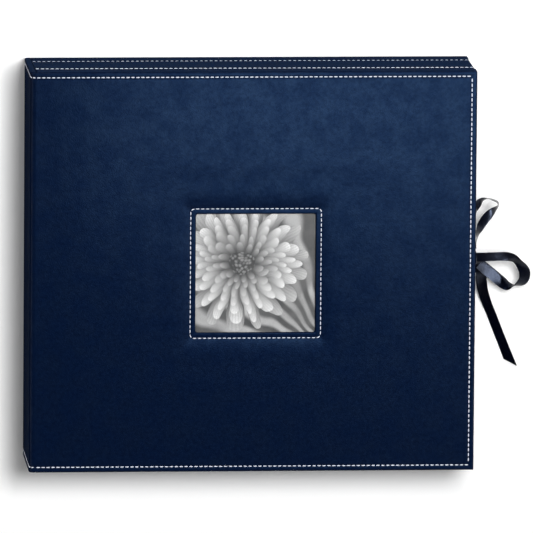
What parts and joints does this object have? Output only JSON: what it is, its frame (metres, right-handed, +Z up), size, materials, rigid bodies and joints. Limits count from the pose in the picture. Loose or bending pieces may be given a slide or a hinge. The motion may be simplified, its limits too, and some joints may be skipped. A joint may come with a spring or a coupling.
{
  "type": "scrapbook album",
  "caption": "Box-style scrapbook album in padded leatherette with a square picture window, ribbon tie, walled tray, ring binder mechanism and clear page protectors.",
  "frame": {"origin": "middle of the closed album's footprint, on the surface it lies on", "axes": "+X from the spine to the fore-edge, +Y to the head, +Z up out of the front cover"},
  "size_m": [0.4323, 0.343, 0.092],
  "materials": {
    "leatherette": "matte grained leatherette",
    "thread": "matte",
    "board": "matte",
    "padding": "matte fibre wadding",
    "lining": "matte",
    "clear_film": "clear gloss",
    "picture": "satin print",
    "nickel": "polished nickel",
    "paper": "matte",
    "ribbon": "satin"
  },
  "bodies": {
    "tray": {"back_skin": "leatherette", "back_foam": "padding", "back_board": "board", "back_lining": "lining", "back_stitching": "thread", "back_fold": "leatherette", "wall_skin": "leatherette", "wall_lining": "lining", "fore_edge_wall_board": "board", "head_wall_board": "board", "tail_wall_board": "board", "wall_stitching_lower": "thread", "wall_stitching_upper": "thread", "ring_housing": "nickel", "housing_rivet_head": "nickel", "housing_rivet_tail": "nickel", "ribbon_back_lead": "ribbon", "ribbon_upper_loop": "ribbon", "ribbon_lower_loop": "ribbon", "ribbon_tail": "ribbon", "ribbon_hidden_tail": "ribbon", "ribbon_knot": "ribbon"},
    "spine": {"spine_skin": "leatherette", "spine_board": "board", "spine_lining": "lining", "spine_stitching_head": "thread", "spine_stitching_tail": "thread", "front_fold": "leatherette"},
    "front_cover": {"front_skin": "leatherette", "front_foam": "padding", "front_board": "board", "front_lining": "lining", "front_stitching": "thread", "window_stitching": "thread", "window_film": "clear_film", "photo_card": "picture", "pocket_backing": "board", "ribbon_front_lead": "ribbon"},
    "left_jaw": {"left_blade": "nickel", "ring_arch_head": "nickel", "ring_arch_middle": "nickel", "ring_arch_tail": "nickel"},
    "right_jaw": {"right_blade": "nickel", "ring_leg_head": "nickel", "ring_leg_middle": "nickel", "ring_leg_tail": "nickel"},
    "head_lever": {"head_lever": "nickel"},
    "tail_lever": {"tail_lever": "nickel"},
    "leaf_1": {"page_protector_1": "clear_film", "page_sheet_1": "paper"},
    "leaf_2": {"page_protector_2": "clear_film", "page_sheet_2": "paper"},
    "leaf_3": {"page_protector_3": "clear_film", "page_sheet_3": "paper"},
    "leaf_4": {"page_protector_4": "clear_film", "page_sheet_4": "paper"}
  },
  "joints": [
    {"name": "spine_hinge", "type": "hinge", "parent": "tray", "child": "spine", "pos_m": [-0.1883, 0, 0.0012], "axis": [0, -1, 0], "range_deg": [0, 90], "deforming": ["back_fold"]},
    {"name": "cover_hinge", "type": "hinge", "parent": "spine", "child": "front_cover", "pos_m": [-0.1883, 0, 0.0908], "axis": [0, -1, 0], "range_deg": [0, 90], "deforming": ["front_fold"]},
    {"name": "rings_open", "type": "hinge", "parent": "tray", "child": "right_jaw", "pos_m": [-0.1513, 0, 0.0154], "axis": [0, 1, 0], "range_deg": [0, 10]},
    {"name": "left_rings_open", "type": "hinge", "parent": "tray", "child": "left_jaw", "pos_m": [-0.1707, 0, 0.0154], "axis": [0, -1, 0], "range_deg": [0, 10]},
    {"name": "head_lever_press", "type": "hinge", "parent": "tray", "child": "head_lever", "pos_m": [-0.161, 0.141, 0.0149], "axis": [-1, 0, 0], "range_deg": [0, 20]},
    {"name": "tail_lever_press", "type": "hinge", "parent": "tray", "child": "tail_lever", "pos_m": [-0.161, -0.141, 0.0149], "axis": [1, 0, 0], "range_deg": [0, 20]},
    {"name": "leaf_4_lift", "type": "hinge", "parent": "tray", "child": "leaf_4", "pos_m": [-0.1455, 0, 0.0255], "axis": [0, -1, 0], "range_deg": [0, 10]},
    {"name": "leaf_3_lift", "type": "hinge", "parent": "tray", "child": "leaf_3", "pos_m": [-0.1455, 0, 0.0236], "axis": [0, -1, 0], "range_deg": [0, 7.5]},
    {"name": "leaf_2_lift", "type": "hinge", "parent": "tray", "child": "leaf_2", "pos_m": [-0.1455, 0, 0.0217], "axis": [0, -1, 0], "range_deg": [0, 5]},
    {"name": "leaf_1_lift", "type": "hinge", "parent": "tray", "child": "leaf_1", "pos_m": [-0.1455, 0, 0.0198], "axis": [0, -1, 0], "range_deg": [0, 2.5]}
  ],
  "couplings": [
    {"joint": "left_rings_open", "follows": "rings_open", "ratio": 1},
    {"joint": "head_lever_press", "follows": "rings_open", "ratio": 2},
    {"joint": "tail_lever_press", "follows": "rings_open", "ratio": 2},
    {"joint": "leaf_3_lift", "follows": "leaf_4_lift", "ratio": 0.75},
    {"joint": "leaf_2_lift", "follows": "leaf_4_lift", "ratio": 0.5},
    {"joint": "leaf_1_lift", "follows": "leaf_4_lift", "ratio": 0.25}
  ]
}
